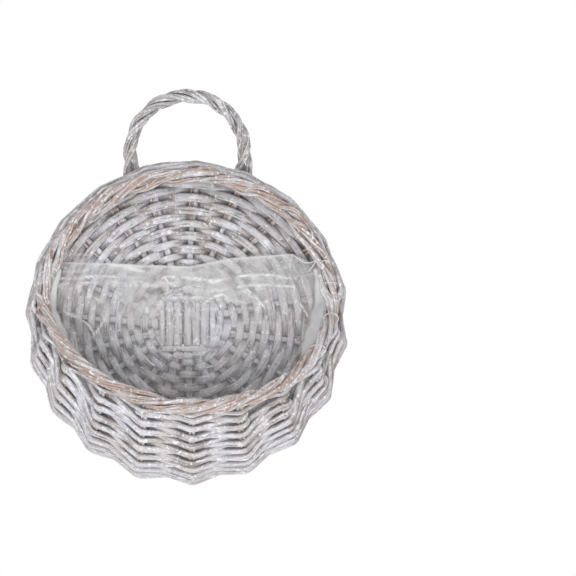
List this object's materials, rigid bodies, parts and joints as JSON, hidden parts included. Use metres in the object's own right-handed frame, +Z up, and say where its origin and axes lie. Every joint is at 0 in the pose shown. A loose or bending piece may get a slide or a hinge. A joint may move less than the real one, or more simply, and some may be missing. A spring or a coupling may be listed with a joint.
{
  "type": "wall basket",
  "caption": "Round woven willow wall basket with a tilted pocket, a roped border, a twisted bow handle to hang by and a clear film liner.",
  "frame": {"origin": "the point under the top of the handle where a hook or nail carries the basket", "axes": "+X to the right as one faces the basket, +Y into the wall behind it, +Z up"},
  "size_m": [0.3101, 0.1418, 0.3809],
  "materials": {
    "whitened_willow": "peeled willow, whitewashed thinly, dull, brown at the joints and dark in the gaps",
    "brown_willow": "willow with red-brown bark under a worn whitewash, dull",
    "clear_film": "thin clear creased film"
  },
  "bodies": {
    "root": {"cross_stick_upright_1": "whitened_willow", "cross_stick_upright_2": "whitened_willow", "cross_stick_upright_3": "whitened_willow", "cross_stick_upright_4": "whitened_willow", "cross_stick_upright_5": "whitened_willow", "cross_stick_level_1": "whitened_willow", "cross_stick_level_2": "whitened_willow", "cross_stick_level_3": "whitened_willow", "cross_stick_level_4": "whitened_willow", "cross_stick_level_5": "whitened_willow", "binding_rod_1": "whitened_willow", "binding_rod_2": "whitened_willow", "back_weaver_1": "whitened_willow", "back_weaver_2": "whitened_willow", "back_weaver_3": "whitened_willow", "back_weaver_4": "whitened_willow", "back_weaver_5": "whitened_willow", "rim_weaver_1": "whitened_willow", "rim_weaver_2": "whitened_willow", "packing_weaver_1": "whitened_willow", "packing_weaver_2": "whitened_willow", "packing_weaver_3": "whitened_willow", "packing_weaver_4": "whitened_willow", "packing_weaver_5": "whitened_willow", "lip_weaver": "whitened_willow", "stake_01": "brown_willow", "stake_02": "brown_willow", "stake_03": "brown_willow", "stake_04": "brown_willow", "stake_05": "brown_willow", "stake_06": "brown_willow", "stake_07": "brown_willow", "stake_08": "brown_willow", "stake_09": "brown_willow", "stake_10": "brown_willow", "stake_11": "brown_willow", "stake_12": "brown_willow", "stake_13": "brown_willow", "stake_14": "brown_willow", "stake_15": "brown_willow", "stake_16": "brown_willow", "stake_17": "brown_willow", "stake_18": "brown_willow", "stake_19": "brown_willow", "handle_strand_1": "brown_willow", "handle_strand_2": "brown_willow", "handle_strand_3": "brown_willow", "liner": "clear_film"}
  },
  "joints": []
}
